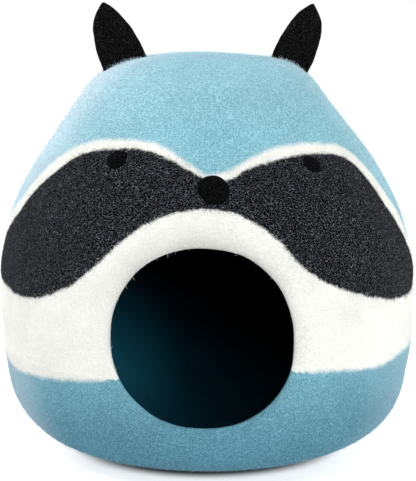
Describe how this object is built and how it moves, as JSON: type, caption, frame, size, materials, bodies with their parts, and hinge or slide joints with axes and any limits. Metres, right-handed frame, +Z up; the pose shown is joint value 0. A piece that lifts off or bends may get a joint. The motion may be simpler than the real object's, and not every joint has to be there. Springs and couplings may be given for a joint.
{
  "type": "felt cat cave",
  "caption": "Hollow rounded cave of wet-felted wool with a flat floor, a domed crown, a round door in front, pointed ears on top and a plain animal face above the door.",
  "frame": {"origin": "on the surface that the cave stands on, under the middle of its round body", "axes": "+Z up; the door faces -Y; +X is to the right for someone facing the door"},
  "size_m": [0.4997, 0.4854, 0.5379],
  "materials": {
    "body_wool": "wet-felted wool, pale blue with a charcoal mask and a white band felted into it, matte with a short fuzz",
    "black_wool": "black felted wool, matte with a short fuzz"
  },
  "bodies": {
    "root": {"shell": "body_wool", "ear_left": "black_wool", "ear_right": "black_wool", "nose": "black_wool", "eye_left": "black_wool", "eye_right": "black_wool"}
  },
  "joints": []
}
